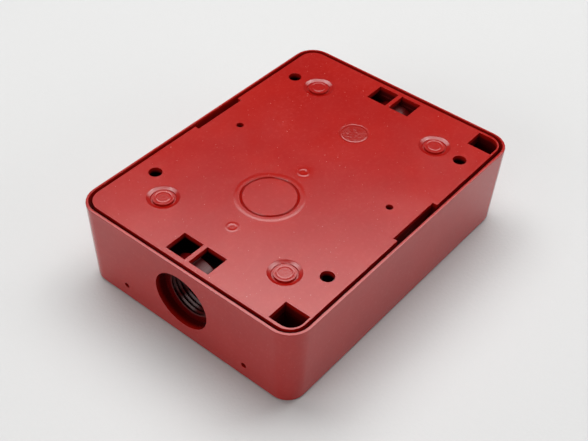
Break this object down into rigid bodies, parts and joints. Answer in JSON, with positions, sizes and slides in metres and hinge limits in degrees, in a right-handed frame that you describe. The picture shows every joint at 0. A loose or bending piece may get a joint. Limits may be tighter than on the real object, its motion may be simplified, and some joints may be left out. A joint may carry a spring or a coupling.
{
  "type": "horn strobe",
  "caption": "Wall fire alarm sounder and flash unit in a red surface back box with conduit entries, lying face down on its rim.",
  "frame": {"origin": "centre of the bounding box, at its bottom: the plane of the front rim that the box lies on", "axes": "+Z from the front rim towards the wall side (the back plate faces up), +X along the long side towards the plugged conduit entry, +Y away from the two corner pockets"},
  "size_m": [0.138, 0.1044, 0.037],
  "materials": {
    "red_housing": "fine satin moulded texture",
    "seal_foam": "closed-cell foam",
    "zinc_steel": "zinc plated",
    "clear_lens": "clear polycarbonate",
    "bright_reflector": "metallised plastic",
    "black_plastic": "satin",
    "brass_sheet": "rolled sheet",
    "white_ceramic": "fired ceramic with a silvered face",
    "board_laminate": "glass-epoxy with black solder mask",
    "capacitor_sleeve": "shrink sleeve",
    "ferrite": "sintered",
    "winding_tape": "polyester tape over copper wire",
    "white_plastic": "satin"
  },
  "bodies": {
    "housing": {"back_box": "red_housing", "plug_seal": "seal_foam", "front_cover": "red_housing", "front_gasket": "seal_foam", "strobe_lens": "clear_lens", "strobe_reflector": "bright_reflector", "flash_tube": "clear_lens", "flash_electrode_1": "zinc_steel", "flash_electrode_2": "zinc_steel", "sounder_housing": "black_plastic", "sounder_throat": "black_plastic", "sounder_clamp_ring": "black_plastic", "circuit_board": "board_laminate", "flash_capacitor": "capacitor_sleeve", "transformer_core": "ferrite", "transformer_winding": "winding_tape", "trigger_coil": "black_plastic", "controller_chip": "black_plastic", "terminal_block": "black_plastic", "terminal_clamp_1": "zinc_steel", "terminal_clamp_2": "zinc_steel", "terminal_clamp_3": "zinc_steel", "terminal_clamp_4": "zinc_steel", "candela_switch_body": "black_plastic", "tone_switch_body": "black_plastic"},
    "closure": {"closure_plug": "red_housing"},
    "diaphragm": {"sounder_diaphragm": "brass_sheet", "sounder_ceramic": "white_ceramic"},
    "candela_slider": {"candela_slider": "white_plastic"},
    "tone_dial": {"tone_dial": "white_plastic"},
    "cover_screw_1": {"cover_screw_1": "zinc_steel"},
    "cover_screw_2": {"cover_screw_2": "zinc_steel"},
    "cover_screw_3": {"cover_screw_3": "zinc_steel"},
    "cover_screw_4": {"cover_screw_4": "zinc_steel"},
    "board_screw_1": {"board_screw_1": "zinc_steel"},
    "board_screw_2": {"board_screw_2": "zinc_steel"},
    "board_screw_3": {"board_screw_3": "zinc_steel"},
    "board_screw_4": {"board_screw_4": "zinc_steel"},
    "terminal_screw_1": {"terminal_screw_1": "zinc_steel"},
    "terminal_screw_2": {"terminal_screw_2": "zinc_steel"},
    "terminal_screw_3": {"terminal_screw_3": "zinc_steel"},
    "terminal_screw_4": {"terminal_screw_4": "zinc_steel"}
  },
  "joints": [
    {"name": "closure_turn", "type": "hinge", "parent": "housing", "child": "closure", "pos_m": [0.065, 0, 0.0193], "axis": [1, 0, 0], "continuous": true},
    {"name": "cover_screw_1_turn", "type": "hinge", "parent": "housing", "child": "cover_screw_1", "pos_m": [0.0592, 0.0424, 0.002], "axis": [0, 0, 1], "continuous": true},
    {"name": "cover_screw_2_turn", "type": "hinge", "parent": "housing", "child": "cover_screw_2", "pos_m": [-0.0592, 0.0424, 0.002], "axis": [0, 0, 1], "continuous": true},
    {"name": "cover_screw_3_turn", "type": "hinge", "parent": "housing", "child": "cover_screw_3", "pos_m": [-0.0592, -0.0424, 0.002], "axis": [0, 0, 1], "continuous": true},
    {"name": "cover_screw_4_turn", "type": "hinge", "parent": "housing", "child": "cover_screw_4", "pos_m": [0.0592, -0.0424, 0.002], "axis": [0, 0, 1], "continuous": true},
    {"name": "board_screw_1_turn", "type": "hinge", "parent": "housing", "child": "board_screw_1", "pos_m": [0.049, 0.037, 0.0195], "axis": [0, 0, 1], "continuous": true},
    {"name": "board_screw_2_turn", "type": "hinge", "parent": "housing", "child": "board_screw_2", "pos_m": [-0.049, 0.037, 0.0195], "axis": [0, 0, 1], "continuous": true},
    {"name": "board_screw_3_turn", "type": "hinge", "parent": "housing", "child": "board_screw_3", "pos_m": [-0.049, -0.037, 0.0195], "axis": [0, 0, 1], "continuous": true},
    {"name": "board_screw_4_turn", "type": "hinge", "parent": "housing", "child": "board_screw_4", "pos_m": [0.049, -0.037, 0.0195], "axis": [0, 0, 1], "continuous": true},
    {"name": "terminal_screw_1_turn", "type": "hinge", "parent": "housing", "child": "terminal_screw_1", "pos_m": [0.027, -0.015, 0.026], "axis": [0, 0, 1], "continuous": true},
    {"name": "terminal_screw_2_turn", "type": "hinge", "parent": "housing", "child": "terminal_screw_2", "pos_m": [0.027, -0.005, 0.026], "axis": [0, 0, 1], "continuous": true},
    {"name": "terminal_screw_3_turn", "type": "hinge", "parent": "housing", "child": "terminal_screw_3", "pos_m": [0.027, 0.005, 0.026], "axis": [0, 0, 1], "continuous": true},
    {"name": "terminal_screw_4_turn", "type": "hinge", "parent": "housing", "child": "terminal_screw_4", "pos_m": [0.027, 0.015, 0.026], "axis": [0, 0, 1], "continuous": true},
    {"name": "candela_slide", "type": "slide", "parent": "housing", "child": "candela_slider", "axis": [1, 0, 0], "range_m": [-0.004, 0.004]},
    {"name": "tone_dial_turn", "type": "hinge", "parent": "housing", "child": "tone_dial", "pos_m": [-0.032, -0.031, 0.023], "axis": [0, 0, 1], "range_deg": [-135, 135]},
    {"name": "diaphragm_travel", "type": "slide", "parent": "housing", "child": "diaphragm", "axis": [0, 0, 1], "range_m": [-0.0002, 0.0002], "stiffness_N_per_m": 5000}
  ]
}
